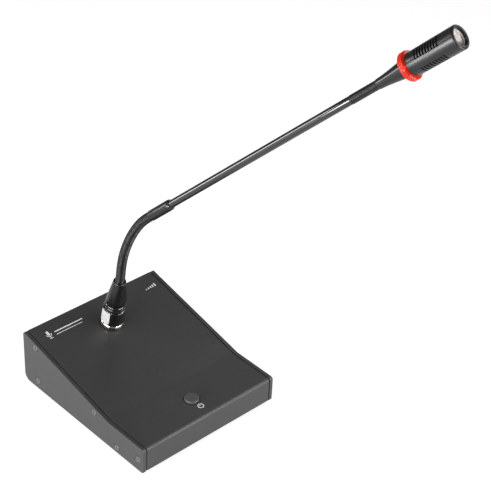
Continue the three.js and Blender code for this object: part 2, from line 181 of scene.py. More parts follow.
def block(name, low, high):
    """A box between two corners, with its place in its mesh."""
    low, high = Vector(low), Vector(high)
    bpy.ops.mesh.primitive_cube_add(size=1, location=(low + high) / 2)
    piece = bpy.context.object
    piece.name = name
    piece.scale = high - low
    bpy.ops.object.transform_apply(location=True, rotation=True, scale=True)
    return piece


def apply_modifier(piece, kind, **settings):
    only(piece)
    modifier = piece.modifiers.new(kind.lower(), kind)
    for key, value in settings.items():
        setattr(modifier, key, value)
    bpy.ops.object.modifier_apply(modifier=modifier.name)


def carve(piece, cutter):
    apply_modifier(piece, "BOOLEAN", operation="DIFFERENCE", object=cutter, solver="EXACT")
    bpy.data.objects.remove(cutter, do_unlink=True)


def soften(piece, width, segments=2, angle=32):
    """Breaks the sharp edges and shades the faces between them smooth."""
    apply_modifier(piece, "BEVEL", width=width, segments=segments, limit_method="ANGLE",
                   angle_limit=math.radians(angle), harden_normals=False)
    bpy.ops.object.shade_smooth_by_angle(angle=math.radians(angle))
    apply_modifier(piece, "WEIGHTED_NORMAL", mode="FACE_AREA", weight=90, keep_sharp=True)


def place(piece, matrix):
    """Puts a piece built on the Z axis where the matrix says and bakes that into its mesh."""
    only(piece)
    piece.matrix_world = matrix
    bpy.ops.object.transform_apply(location=True, rotation=True, scale=True)


def on(value, target):
    """True when a coordinate is within a hundredth of a millimetre of target."""
    return abs(value - target) < 0.01 * MM


def wedge(name, x0, x1):
    """A solid with the base's side outline between two x values."""
    y0, y1 = cover_low.y, cover_high.y
    piece = block(name, (x0, y0, 0.0), (x1, y1, cover_high.z))
    pick(piece, "FACE", lambda c, n: True)
    bpy.ops.mesh.bisect(plane_co=(0, KINK_Y, 0), plane_no=(0, 1, 0))
    done()
    pick(piece, "VERT", lambda v: v.z > LEVEL and v.y < KINK_Y + 0.01 * MM)
    bpy.ops.transform.translate(value=(0, 0, LEVEL - cover_high.z))
    done()
    return piece


top_cover = wedge("cover_sheet", cover_low.x, cover_high.x)
pick(top_cover, "FACE", lambda c, n: abs(n.x) > 0.9 or n.z < -0.9)
bpy.ops.mesh.delete(type="FACE")
done()
pick(top_cover, "VERT", lambda v: on(v.z, 0))
bpy.ops.transform.translate(value=(0, 0, 1.2 * MM))
done()


def along_x(a, b):
    return abs(a.x - b.x) > 50 * MM


pick(top_cover, "EDGE", lambda a, b: along_x(a, b) and on(a.y, cover_low.y) and on(a.z, LEVEL))
bpy.ops.mesh.bevel(offset=2.6 * MM, segments=8, profile=0.5, affect="EDGES")
done()
pick(top_cover, "EDGE", lambda a, b: along_x(a, b) and on(a.y, cover_high.y) and a.z > LEVEL)
bpy.ops.mesh.bevel(offset=2.2 * MM, segments=7, profile=0.5, affect="EDGES")
done()
pick(top_cover, "EDGE", lambda a, b: along_x(a, b) and on(a.y, KINK_Y))
bpy.ops.mesh.bevel(offset=3.0 * MM, segments=4, profile=0.5, affect="EDGES")
done()
apply_modifier(top_cover, "SOLIDIFY", thickness=SHEET, offset=-1.0, use_even_offset=True)


def side_rim(a, b):
    """True for the edges that run along the sheet's cut sides, not those across its thickness."""
    if not (on(a.x, b.x) and on(abs(a.x), cover_high.x)):
        return False
    across = 1.3 * MM < (a - b).length < 2.3 * MM
    return not across or (abs(a.y - b.y) > abs(a.z - b.z) and abs(a.y - KINK_Y) < 6 * MM)


pick(top_cover, "EDGE", side_rim)
bpy.ops.mesh.bevel(offset=0.72 * MM, segments=4, profile=0.5, affect="EDGES")
done()

JOINTS = {j["name"]: j for j in frame["record"]["behaviour"]["joints"]}
plug_axis = Vector(JOINTS["plug_pull"]["axis"]).normalized()
FIRST_PIVOT = 49.5 * MM
plug_foot = Vector(JOINTS["pitch_lower_1"]["pos_m"]) - plug_axis * FIRST_PIVOT


def axis_frame(origin, z_axis, x_hint=(1, 0, 0)):
    z = Vector(z_axis).normalized()
    x = (Vector(x_hint) - z * Vector(x_hint).dot(z)).normalized()
    y = z.cross(x)
    return Matrix.Translation(origin) @ Matrix((x, y, z)).transposed().to_4x4()


plug_frame = axis_frame(plug_foot, plug_axis)
button_low, button_high = (Vector(c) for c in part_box("talk_button"))
button_y = (button_low.y + button_high.y) / 2
out_low, out_high = (Vector(c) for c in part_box("output_shell"))
out_centre = Vector(((out_low.x + out_high.x) / 2, cover_high.y, (out_low.z + out_high.z) / 2))
out_frame = Matrix.Translation(out_centre) @ Matrix(
    ((-1, 0, 0), (0, 0, 1), (0, 1, 0))).to_4x4()


def drill(radius, low, high, matrix, segments=64):
    bpy.ops.mesh.primitive_cylinder_add(
        vertices=segments, radius=radius, depth=high - low, location=(0, 0, (low + high) / 2))
    cutter = bpy.context.object
    bpy.ops.object.transform_apply(location=True)
    place(cutter, matrix)
    return cutter


carve(top_cover, drill(6.15 * MM, -8 * MM, 8 * MM, Matrix.Translation((0, button_y, LEVEL))))
carve(top_cover, drill(9.2 * MM, -8 * MM, 8 * MM, plug_frame))
carve(top_cover, drill(12.1 * MM, -8 * MM, 8 * MM, out_frame))
soften(top_cover, 0.28 * MM, 3, 40)


def node_group(name, inputs, outputs):
    group = bpy.data.node_groups.new(name, "ShaderNodeTree")
    for label, kind, value in inputs:
        socket = group.interface.new_socket(label, in_out="INPUT", socket_type=kind)
        socket.default_value = value
    for label, kind in outputs:
        group.interface.new_socket(label, in_out="OUTPUT", socket_type=kind)
    return group, group.nodes.new("NodeGroupInput"), group.nodes.new("NodeGroupOutput")


def noise(tree, vector, scale, detail=2.0, roughness=0.5):
    node = tree.nodes.new("ShaderNodeTexNoise")
    node.inputs["Detail"].default_value = detail
    node.inputs["Roughness"].default_value = roughness
    tree.links.new(vector, node.inputs["Vector"])
    if isinstance(scale, (int, float)):
        node.inputs["Scale"].default_value = scale
    else:
        tree.links.new(scale, node.inputs["Scale"])
    return node.outputs["Fac"]


def remap(tree, value, low, high, to_low=0.0, to_high=1.0):
    node = tree.nodes.new("ShaderNodeMapRange")
    node.inputs["From Min"].default_value = low
    node.inputs["From Max"].default_value = high
    for label, target in (("To Min", to_low), ("To Max", to_high)):
        if isinstance(target, (int, float)):
            node.inputs[label].default_value = target
        else:
            tree.links.new(target, node.inputs[label])
    tree.links.new(value, node.inputs["Value"])
    return node.outputs["Result"]


def maths(tree, operation, a, b=0.0):
    node = tree.nodes.new("ShaderNodeMath")
    node.operation = operation
    for socket, value in zip(node.inputs, (a, b)):
        if isinstance(value, (int, float)):
            socket.default_value = value
        else:
            tree.links.new(value, socket)
    return node.outputs["Value"]


def blend_colours(tree, amount, a, b):
    node = tree.nodes.new("ShaderNodeMix")
    node.data_type = "RGBA"
    tree.links.new(amount, node.inputs[0])
    for socket, value in ((node.inputs[6], a), (node.inputs[7], b)):
        if isinstance(value, tuple):
            socket.default_value = value
        else:
            tree.links.new(value, socket)
    return node.outputs[2]


# The coating's skin: a fine pebble with slow waves in it, dust that settles on level faces and
# faint rub marks. Every coated piece takes it with its own grain size and depth.
coat_group, skin_in, skin_out = node_group(
    "coated_skin",
    [("Vector", "NodeSocketVector", (0, 0, 0)), ("Base", "NodeSocketColor", (0.03, 0.03, 0.03, 1)),
     ("Grain", "NodeSocketFloat", 2400.0), ("Gloss", "NodeSocketFloat", 0.45),
     ("Dust", "NodeSocketFloat", 0.1)],
    [("Colour", "NodeSocketColor"), ("Roughness", "NodeSocketFloat"), ("Height", "NodeSocketFloat")])
pebble = noise(coat_group, skin_in.outputs["Vector"], skin_in.outputs["Grain"], 1.5, 0.4)
wave = noise(coat_group, skin_in.outputs["Vector"], 180.0, 2.0)
cloud = noise(coat_group, skin_in.outputs["Vector"], 22.0, 4.0, 0.6)
coat_group.links.new(
    maths(coat_group, "ADD", pebble, maths(coat_group, "MULTIPLY", wave, 0.35)), skin_out.inputs["Height"])
geometry = coat_group.nodes.new("ShaderNodeNewGeometry")
split = coat_group.nodes.new("ShaderNodeSeparateXYZ")
coat_group.links.new(geometry.outputs["Normal"], split.inputs[0])
level_mask = remap(coat_group, split.outputs["Z"], 0.5, 1.0)
specks = remap(coat_group, noise(coat_group, skin_in.outputs["Vector"], 900.0, 3.0, 0.7), 0.56, 0.75)
settled = maths(coat_group, "MULTIPLY", level_mask, specks)
dust = maths(coat_group, "MULTIPLY", settled, skin_in.outputs["Dust"])
tint = blend_colours(coat_group, dust, skin_in.outputs["Base"], (0.22, 0.21, 0.2, 1))
coat_group.links.new(tint, skin_out.inputs["Colour"])
rub = remap(coat_group, cloud, 0.3, 0.75, -0.05, 0.06)
rough = maths(coat_group, "ADD", skin_in.outputs["Gloss"], rub)
grit = maths(coat_group, "MULTIPLY", pebble, 0.06)
coat_group.links.new(maths(coat_group, "ADD", rough, grit), skin_out.inputs["Roughness"])


def coated(name, base, gloss, grain, depth, dust_amount=0.1, metallic=0.0, coat=0.0):
    """A Principled material that takes its colour, roughness and bump from the coated skin."""
    material = bpy.data.materials.new(name)
    material.use_nodes = True
    tree = material.node_tree
    shader = tree.nodes["Principled BSDF"]
    skin = tree.nodes.new("ShaderNodeGroup")
    skin.node_tree = coat_group
    place_on = tree.nodes.new("ShaderNodeTexCoord")
    tree.links.new(place_on.outputs["Object"], skin.inputs["Vector"])
    skin.inputs["Base"].default_value = (*base, 1)
    skin.inputs["Grain"].default_value = grain
    skin.inputs["Gloss"].default_value = gloss
    skin.inputs["Dust"].default_value = dust_amount
    bump = tree.nodes.new("ShaderNodeBump")
    bump.inputs["Strength"].default_value = 0.6
    bump.inputs["Distance"].default_value = depth
    tree.links.new(skin.outputs["Height"], bump.inputs["Height"])
    tree.links.new(bump.outputs["Normal"], shader.inputs["Normal"])
    tree.links.new(skin.outputs["Colour"], shader.inputs["Base Color"])
    tree.links.new(skin.outputs["Roughness"], shader.inputs["Roughness"])
    shader.inputs["Metallic"].default_value = metallic
    if coat:
        shader.inputs["Coat Weight"].default_value = coat
        shader.inputs["Coat Roughness"].default_value = 0.08
    return material


def dress(piece, material):
    piece.data.materials.clear()
    piece.data.materials.append(material)


powder_coat = coated("powder_coat_charcoal", (0.035, 0.035, 0.0353), 0.42, 2300.0, 0.03 * MM, 0.12)
dress(top_cover, powder_coat)
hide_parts("top_cover")
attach(top_cover, "base")


# ---- Cheeks ----
# Steel side plates with a narrow lip turned in all round, coated like the cover. A dark seam
# shows between lip and cover. Five countersunk holes take the screws.
SCREW_SPOTS = [[sum(pair) / 2 for pair in zip(*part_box(f"cheek_screw_left_{i}"))][1:] for i in range(1, 6)]
cheek_low, cheek_high = (Vector(c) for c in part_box("left_cheek"))
LIP = cheek_high.x - cheek_low.x

left_cheek = wedge("left_cheek_plate", cheek_low.x, cheek_high.x)
ROUNDS = [  # corner y, corner z, radius
    (cover_low.y, 0.0, 1.8), (cover_high.y, 0.0, 6.0),
    (cover_high.y, cover_high.z, 2.5), (cover_low.y, LEVEL, 2.5),
]
for corner_y, corner_z, radius in ROUNDS:
    pick(left_cheek, "EDGE", lambda a, b: abs(a.x - b.x) > 1 * MM and on(a.y, corner_y)
         and abs(a.z - corner_z) < 1 * MM)
    bpy.ops.mesh.bevel(offset=radius * MM, segments=8, profile=0.5, affect="EDGES")
    done()
pick(left_cheek, "FACE", lambda c, n: n.x > 0.9)
bpy.ops.mesh.dissolve_faces()
bpy.ops.mesh.inset(thickness=SHEET, depth=0)
bpy.ops.mesh.extrude_region_move(TRANSFORM_OT_translate={"value": (-(LIP - SHEET), 0, 0)})
done()
countersink = Matrix.Rotation(math.radians(90), 4, "Y")
for y, z in SCREW_SPOTS:
    bpy.ops.mesh.primitive_cone_add(vertices=40, radius1=3.35 * MM, radius2=1.75 * MM, depth=1.9 * MM,
                                    location=(0, 0, 0.75 * MM))
    cone = bpy.context.object
    bpy.ops.object.transform_apply(location=True)
    place(cone, Matrix.Translation((cheek_low.x, y, z)) @ countersink)
    carve(left_cheek, cone)
soften(left_cheek, 0.45 * MM, 3, 40)
dress(left_cheek, powder_coat)


def copied(piece, name):
    """A second piece of the same shape, with a mesh of its own."""
    twin = piece.copy()
    twin.data = piece.data.copy()
    twin.name = name
    bpy.context.collection.objects.link(twin)
    return twin


right_cheek = copied(left_cheek, "right_cheek_plate")
place(right_cheek, Matrix.Scale(-1, 4, (1, 0, 0)))
pick(right_cheek, "FACE", lambda c, n: True)
bpy.ops.mesh.normals_make_consistent(inside=False)
done()
for cheek, node in ((left_cheek, "left_cheek"), (right_cheek, "right_cheek")):
    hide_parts(node)
    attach(cheek, "base")


# ---- Cheek screws ----
# Small countersunk machine screws with a cross recess, blackened steel, flush with the cheeks.
def turned(name, stations, segments=64, closed=False, capped=True):
    """A body of revolution on the Z axis: a circle extruded ring by ring through (radius, height) in mm."""
    radius, height = stations[0]
    bpy.ops.object.select_all(action="DESELECT")
    bpy.ops.mesh.primitive_circle_add(
        vertices=segments, radius=radius * MM, location=(0, 0, height * MM),
        fill_type="NGON" if capped and not closed else "NOTHING")
    piece = bpy.context.object
    piece.name = name
    bpy.ops.object.transform_apply(location=True)
    bpy.ops.object.mode_set(mode="EDIT")
    bpy.ops.mesh.select_mode(type="EDGE")
    bpy.ops.mesh.select_all(action="SELECT")
    for r, h in stations[1:]:
        bpy.ops.mesh.extrude_edges_move(TRANSFORM_OT_translate={"value": (0, 0, (h - height) * MM)})
        bpy.ops.transform.resize(value=(r / radius, r / radius, 1), center_override=(0, 0, h * MM))
        radius, height = r, h
    if closed:
        bpy.ops.mesh.select_all(action="DESELECT")
        bpy.ops.mesh.select_non_manifold(extend=False)
        bpy.ops.mesh.bridge_edge_loops()
    elif capped:
        bpy.ops.mesh.edge_face_add()
    bpy.ops.mesh.select_all(action="SELECT")
    bpy.ops.mesh.normals_make_consistent(inside=False)
    bpy.ops.object.mode_set(mode="OBJECT")
    return piece


def cross_recess(screw, reach, mouth, bottom, turn):
    """Two crossed slots that narrow from mouth to bottom height, in mm, turned by that many degrees."""
    for angle in (0, 90):
        blade = block("recess", (-reach * MM, -0.28 * MM, min(mouth, bottom) * MM),
                      (reach * MM, 0.28 * MM, max(mouth, bottom) * MM))
        pick(blade, "VERT", lambda v: on(v.z, bottom * MM))
        bpy.ops.transform.resize(value=(0.35, 0.7, 1), center_override=(0, 0, bottom * MM))
        done()
        place(blade, Matrix.Rotation(math.radians(angle + turn), 4, "Z"))
        carve(screw, blade)


screw_model = turned("screw_model", [(0.9, 8.0), (1.35, 7.6), (1.35, 1.6), (2.7, 0.25), (2.62, 0.03)], 40)
cross_recess(screw_model, 1.5, -1, 1, 20)
soften(screw_model, 0.07 * MM, 2, 35)
blackened = coated("blackened_screw_steel", (0.2, 0.2, 0.205), 0.26, 4000.0, 0.006 * MM, 0.2, metallic=0.85)
dress(screw_model, blackened)
for side, turn in (("left", 1), ("right", -1)):
    for i, (y, z) in enumerate(SCREW_SPOTS, 1):
        screw = copied(screw_model, f"flush_screw_{side}_{i}")
        facing = Matrix.Rotation(math.radians(90 * turn), 4, "Y") @ Matrix.Rotation(i * 0.9, 4, "Z")
        place(screw, Matrix.Translation((cheek_low.x * turn, y, z)) @ facing)
        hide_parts(f"cheek_screw_{side}_{i}")
        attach(screw, "base")
bpy.data.objects.remove(screw_model, do_unlink=True)


# ---- Feet and bottom plate ----
# Push-in rubber feet with a soft rounded pad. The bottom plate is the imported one, coated.
foot_model = turned("foot_model", [
    (2.4, 3.4), (3.2, 2.2), (3.2, 1.8), (2.1, 1.8), (2.1, -0.1), (6.7, -0.1), (7.0, -0.4), (7.0, -1.7),
    (6.6, -2.3), (6.0, -2.5), (4.6, -2.5), (4.2, -2.2)], 48)
soften(foot_model, 0.12 * MM, 2, 35)
foot_rubber = coated("foot_rubber", (0.018, 0.018, 0.018), 0.75, 3000.0, 0.03 * MM, 0.3)
dress(foot_model, foot_rubber)
for i in range(1, 5):
    low, high = (Vector(c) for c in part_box(f"foot_{i}"))
    pad = copied(foot_model, f"rubber_foot_{i}")
    place(pad, Matrix.Translation(((low.x + high.x) / 2, (low.y + high.y) / 2, 0)))
    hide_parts(f"foot_{i}")
    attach(pad, "base")
bpy.data.objects.remove(foot_model, do_unlink=True)
dress(frame["nodes"]["bottom_plate"], powder_coat)


# ---- Talk button ----
# A round moulded cap with a shallow dish and a soft edge, loose in its hole in the level part.
button_top = button_high.z / MM
talk_cap = turned("talk_cap", [
    (1.2, button_low.z / MM), (1.2, 19.8), (7.0, 19.8), (7.0, 20.8), (5.8, 20.8), (5.8, button_top - 0.7),
    (5.62, button_top - 0.28), (5.2, button_top - 0.05), (4.8, button_top), (4.2, button_top - 0.05),
    (2.8, button_top - 0.18), (1.2, button_top - 0.25), (0.3, button_top - 0.26)], 72)
bpy.ops.object.shade_smooth_by_angle(angle=math.radians(40))
place(talk_cap, Matrix.Translation((0, button_y, 0)))
cap_plastic = coated("button_moulding", (0.06, 0.0605, 0.062), 0.38, 3500.0, 0.01 * MM, 0.1)
dress(talk_cap, cap_plastic)
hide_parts("talk_button")
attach(talk_cap, "button")


# ---- Printed marks ----
# Thin white screen print on the coating: a ring and bar in front of the button, a microphone
# pictogram with two lines, and a row of level bars. They carry no words.
print_white = bpy.data.materials.new("white_screen_print")
print_white.use_nodes = True
ink = print_white.node_tree
ink_shader = ink.nodes["Principled BSDF"]
ink_place = ink.nodes.new("ShaderNodeTexCoord")
ink_grain = noise(ink, ink_place.outputs["Object"], 3200.0, 2.0)
ink.links.new(blend_colours(ink, ink_grain, (0.62, 0.62, 0.61, 1), (0.8, 0.8, 0.79, 1)),
              ink_shader.inputs["Base Color"])
ink.links.new(remap(ink, ink_grain, 0.3, 0.7, 0.4, 0.6), ink_shader.inputs["Roughness"])
PRINT = 0.05  # thickness of the print, in mm


def printed(piece, matrix):
    place(piece, matrix)
    dress(piece, print_white)
    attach(piece, "base")


def bar(name, x0, x1, y0, y1, matrix):
    piece = block(name, (x0 * MM, y0 * MM, 0), (x1 * MM, y1 * MM, PRINT * MM))
    soften(piece, 0.02 * MM, 1)
    printed(piece, matrix)


def open_ring(name, outer, inner, gap, matrix):
    """A printed ring with a gap of that half width cut out of its +Y side."""
    ring = turned(name, [(outer, 0.0), (outer, PRINT), (inner, PRINT), (inner, 0.0)], 48, closed=True)
    carve(ring, block("gap", (-gap * MM, 0, -1 * MM), (gap * MM, outer * 1.2 * MM, 1 * MM)))
    printed(ring, matrix)


talk_place = Matrix.Translation((0, button_y - 10.3 * MM, LEVEL))
open_ring("talk_mark_ring", 2.6, 1.85, 0.8, talk_place)
bar("talk_mark_bar", -0.35, 0.35, 0.2, 2.9, talk_place)


def on_slope(x, y):
    """The frame of a mark on the slope, at x and at y along the slope from the plug, in mm."""
    return plug_frame @ Matrix.Translation((x * MM, y * MM, 0))


emblem = on_slope(-50.5, 14.0)
bar("microphone_mark_capsule", -1.1, 1.1, 0.2, 4.6, emblem)
open_ring("microphone_mark_yoke", 2.6, 2.0, 3.0, emblem @ Matrix.Translation((0, 1.4 * MM, 0)))
bar("microphone_mark_stem", -0.3, 0.3, -2.6, -1.3, emblem)
bar("microphone_mark_foot", -1.6, 1.6, -3.2, -2.6, emblem)
bar("line_mark_long", -45.0, -18.0, 14.6, 15.7, on_slope(0, 0))
bar("line_mark_short", -45.0, -20.0, 11.9, 12.5, on_slope(0, 0))
for step in range(5):
    bar(f"level_mark_{step + 1}", 45.0 + step * 2.3, 46.3 + step * 2.3, 12.4, 13.3 + 0.55 * step,
        on_slope(0, 0))


# ---- Panel socket and the neck's plug ----
# The socket's low rim stands on the slope. Above it comes the cable connector: nickel ring,
# glossy black barrel with two turned beads, a bright press tab on its left, and a tapered boot.
socket_rim = turned("socket_rim", [
    (8.9, -21.0), (8.9, 0.3), (9.7, 0.3), (9.9, 0.5), (9.85, 0.9), (9.6, 1.1), (7.9, 1.1), (7.6, 0.8),
    (7.6, -19.0), (2.2, -19.0), (2.2, -21.0)], 80, closed=True)
soften(socket_rim, 0.12 * MM, 2, 38)
place(socket_rim, plug_frame)
rim_black = coated("socket_black", (0.012, 0.012, 0.012), 0.28, 3000.0, 0.008 * MM, 0.1)
dress(socket_rim, rim_black)
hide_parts("socket_shell")
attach(socket_rim, "base")

plug_ring = turned("nickel_foot_ring", [
    (8.9, 1.5), (9.25, 1.5), (9.5, 1.8), (9.5, 2.4), (9.3, 2.65), (9.3, 2.85), (9.5, 3.1), (9.5, 3.5),
    (9.25, 3.8), (8.9, 3.8)], 96, closed=True)
bpy.ops.object.shade_smooth_by_angle(angle=math.radians(50))
place(plug_ring, plug_frame)


def bright_metal(name, base, roughness, scratch):
    """Plated metal with fine turning marks in its bump and a faint cloud in its roughness."""
    material = bpy.data.materials.new(name)
    material.use_nodes = True
    tree = material.node_tree
    shader = tree.nodes["Principled BSDF"]
    where = tree.nodes.new("ShaderNodeTexCoord")
    fine = noise(tree, where.outputs["Object"], 5200.0, 2.0)
    slow = noise(tree, where.outputs["Object"], 260.0, 3.0)
    tree.links.new(blend_colours(tree, slow, (*[c * 0.9 for c in base], 1), (*base, 1)),
                   shader.inputs["Base Color"])
    tree.links.new(remap(tree, slow, 0.3, 0.7, roughness * 0.8, roughness * 1.35), shader.inputs["Roughness"])
    bump = tree.nodes.new("ShaderNodeBump")
    bump.inputs["Strength"].default_value = 0.5
    bump.inputs["Distance"].default_value = scratch
    tree.links.new(fine, bump.inputs["Height"])
    tree.links.new(bump.outputs["Normal"], shader.inputs["Normal"])
    shader.inputs["Metallic"].default_value = 1.0
    return material


nickel = bright_metal("nickel_plate", (0.78, 0.72, 0.63), 0.14, 0.003 * MM)
dress(plug_ring, nickel)
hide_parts("plug_ring")
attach(plug_ring, "plug")

plug_barrel = turned("connector_barrel", [
    (6.2, -14.2), (7.1, -14.2), (7.2, -13.9), (7.2, 1.6), (8.6, 1.6), (8.6, 4.1), (9.1, 4.1), (9.3, 4.4),
    (9.3, 16.9), (9.1, 17.6), (8.75, 18.05), (8.25, 18.3), (8.2, 18.9), (8.45, 19.05), (8.6, 19.4),
    (8.6, 19.9), (8.4, 20.25), (8.0, 20.4), (8.0, 20.95), (8.25, 21.1), (8.4, 21.5), (8.35, 22.2),
    (8.1, 22.7), (7.85, 23.0), (7.8, 24.6), (6.2, 24.6)], 96, closed=True)
carve(plug_barrel, block("tab_pocket", (-12 * MM, -4.9 * MM, 4.7 * MM), (-6.9 * MM, 4.9 * MM, 17.7 * MM)))
only(plug_barrel)
bpy.ops.object.shade_smooth_by_angle(angle=math.radians(38))
place(plug_barrel, plug_frame)
gloss_black = coated("gloss_black_barrel", (0.004, 0.004, 0.004), 0.12, 1500.0, 0.0006 * MM, 0.02, coat=0.4)
dress(plug_barrel, gloss_black)
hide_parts("plug_barrel")
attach(plug_barrel, "plug")

tab_blank = turned("press_tab", [(0.6, 5.0), (9.65, 5.0), (9.65, 17.4), (0.6, 17.4)], 160)
keep = block("tab_outline", (-12 * MM, -4.6 * MM, 5.0 * MM), (-7.9 * MM, 4.6 * MM, 17.4 * MM))
pick(keep, "EDGE", lambda a, b: abs(a.x - b.x) > 1 * MM)
bpy.ops.mesh.bevel(offset=1.6 * MM, segments=6, profile=0.5, affect="EDGES")
done()
apply_modifier(tab_blank, "BOOLEAN", operation="INTERSECT", object=keep, solver="EXACT")
bpy.data.objects.remove(keep, do_unlink=True)
soften(tab_blank, 0.25 * MM, 3, 40)
place(tab_blank, plug_frame)
tab_silver = coated("brushed_tab", (0.62, 0.62, 0.61), 0.3, 2600.0, 0.0006 * MM, 0.02, metallic=0.35)
dress(tab_blank, tab_silver)
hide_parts("plug_latch")
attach(tab_blank, "latch")

boot = turned("strain_boot", [
    (4.3, 24.9), (7.7, 24.9), (7.9, 25.15), (7.88, 26.2), (7.7, 28.0), (7.35, 31.0), (6.85, 34.5),
    (6.3, 38.0), (5.85, 41.0), (5.4, 43.8), (5.1, 45.6), (4.95, 46.2), (4.6, 46.4), (4.4, 46.2), (4.3, 45.5)],
    80, closed=True)
bpy.ops.object.shade_smooth_by_angle(angle=math.radians(50))
place(boot, plug_frame)
boot_rubber = coated("boot_rubber", (0.005, 0.005, 0.005), 0.2, 2600.0, 0.0008 * MM, 0.02)
dress(boot, boot_rubber)
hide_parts("boot")
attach(boot, "plug")


# ---- Lower flexible hose ----
# A tube of round ribs, blackened, bent by hand. One length is made straight, laid along
# the neck's line, then parted halfway between the hinge points so that each length bends over one.
lean_axis = Vector(JOINTS["pitch_lower_1"]["axis"])
LOWER = ["pitch_lower_1", "side_lower_1", "pitch_lower_2", "side_lower_2", "pitch_lower_3",
         "side_lower_3", "pitch_lower_4"]
UPPER = ["pitch_upper_1", "side_upper_1", "pitch_upper_2"]
HOSE_FOOT = 43.5 * MM  # up the plug's axis
TUBE_END = 208 * MM  # this and the next two are up the neck's axis from the collar
UPPER_PIVOT = 211 * MM
SLEEVE_START = 232.2 * MM
neck_axis = (Vector(JOINTS[UPPER[2]]["pos_m"]) - Vector(JOINTS[UPPER[0]]["pos_m"])).normalized()
collar_start = Vector(JOINTS[UPPER[0]]["pos_m"]) - neck_axis * UPPER_PIVOT
neck_frame = axis_frame(collar_start, neck_axis, lean_axis)


def wound_hose(name, radius, pitch, rib, start, pivots, end):
    """A ribbed tube laid through start, round each pivot, to end. Radius, pitch and rib are in mm."""
    halfway = [start] + [(a + b) / 2 for a, b in zip(pivots, pivots[1:])] + [end]
    bpy.ops.object.select_all(action="DESELECT")
    bpy.ops.curve.primitive_bezier_curve_add()
    line = bpy.context.object
    spline = line.data.splines[0]
    spline.bezier_points.add(len(halfway) - 2)
    for k, (point, centre) in enumerate(zip(spline.bezier_points, halfway)):
        point.handle_left_type = point.handle_right_type = "FREE"
        point.co = centre
        after = pivots[k] if k < len(pivots) else end + (end - pivots[-1])
        before = pivots[k - 1] if k else start - (pivots[0] - start)
        point.handle_right = centre + (after - centre) * 2 / 3
        point.handle_left = centre + (before - centre) * 2 / 3
    line.data.resolution_u = 24
    turns = round(spline.calc_length() / (pitch * MM))
    pitch = spline.calc_length() / turns / MM
    hose = turned(name, [
        (radius - rib, 0), (radius - rib * 0.25, pitch * 0.2), (radius, pitch * 0.5),
        (radius - rib * 0.25, pitch * 0.8), (radius - rib, pitch)], 40, capped=False)
    apply_modifier(hose, "ARRAY", count=turns, use_relative_offset=False, use_constant_offset=True,
                   constant_offset_displace=(0, 0, pitch * MM), use_merge_vertices=True, merge_threshold=1e-5)
    apply_modifier(hose, "CURVE", object=line, deform_axis="POS_Z")
    bpy.data.objects.remove(line, do_unlink=True)
    return hose, halfway


def part_hose(hose, halfway, pivots, names, material):
    """Cuts the hose square across each halfway point into lengths, one round each pivot."""
    for k, name in enumerate(names):
        length = copied(hose, name)
        cuts = [halfway[k]] if k > 0 else []
        if k < len(names) - 1:
            cuts.append(halfway[k + 1])
        for cut in cuts:
            pick(length, "FACE", lambda c, n: True)
            bpy.ops.mesh.bisect(plane_co=cut, plane_no=(pivots[k] - cut).normalized(), threshold=1e-6,
                                clear_inner=True, use_fill=True)
            done()
        bpy.ops.object.shade_smooth_by_angle(angle=math.radians(60))
        dress(length, material)
        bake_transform(length)
    bpy.data.objects.remove(hose, do_unlink=True)


lower_pivots = [Vector(JOINTS[name]["pos_m"]) for name in LOWER]
hose_start = plug_foot + plug_axis * HOSE_FOOT
lower_hose, lower_halfway = wound_hose(
    "lower_hose", 3.78, 1.12, 0.42, hose_start, lower_pivots, collar_start)
hose_black = coated(
    "blackened_wound_steel", (0.014, 0.014, 0.0145), 0.22, 2600.0, 0.002 * MM, 0.05, metallic=0.4)
part_hose(lower_hose, lower_halfway, lower_pivots, [f"lower_hose_{i}" for i in range(1, 8)],
          hose_black)


# ---- Collar and straight tube ----
# A drawn collar with eased ends joins the lower hose to a thin polished tube. The tube is black
# and mirror bright, so it carries one sharp streak of light along its upper side.
collar = turned("neck_collar_sleeve", [
    (2.2, 0.0), (3.7, 0.0), (3.92, 0.25), (4.12, 0.9), (4.2, 1.8), (4.2, 21.6), (4.1, 22.6), (3.85, 23.5),
    (3.5, 24.15), (3.35, 24.4), (3.1, 24.4), (3.1, 3.5), (2.2, 3.5)], 64, closed=True)
bpy.ops.object.shade_smooth_by_angle(angle=math.radians(50))
place(collar, neck_frame)
collar_black = coated(
    "collar_satin_black", (0.016, 0.016, 0.0165), 0.2, 3200.0, 0.002 * MM, 0.06, metallic=0.3)
dress(collar, collar_black)
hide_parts("neck_collar")
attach(collar, "neck")

tube = turned("neck_tube_polished", [
    (2.2, 4.3), (3.05, 4.3), (3.05, 60), (3.05, 120), (3.05, 180), (3.05, 207.7), (2.95, 208.2),
    (2.2, 208.2)], 64, closed=True)
bpy.ops.object.shade_smooth_by_angle(angle=math.radians(50))
place(tube, neck_frame)
tube_black = coated("tube_bright_black", (0.01, 0.01, 0.0105), 0.14, 2600.0, 0.0008 * MM, 0.04, coat=0.5)
dress(tube, tube_black)
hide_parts("neck_tube")
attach(tube, "neck")


# ---- Upper flexible section ----
# The same wound hose in a finer gauge, between the tube and the head's sleeve.
upper_pivots = [Vector(JOINTS[name]["pos_m"]) for name in UPPER]
upper_hose, upper_halfway = wound_hose(
    "upper_hose", 3.25, 0.85, 0.2, collar_start + neck_axis * TUBE_END, upper_pivots,
    collar_start + neck_axis * SLEEVE_START)
part_hose(upper_hose, upper_halfway, upper_pivots, [f"upper_hose_{i}" for i in range(1, 4)],
          hose_black)
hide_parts("hose_root")
for i in range(2, 8):
    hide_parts(f"lower_link_{i - 1}")
for i in (2, 3):
    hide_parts(f"upper_link_{i - 1}")


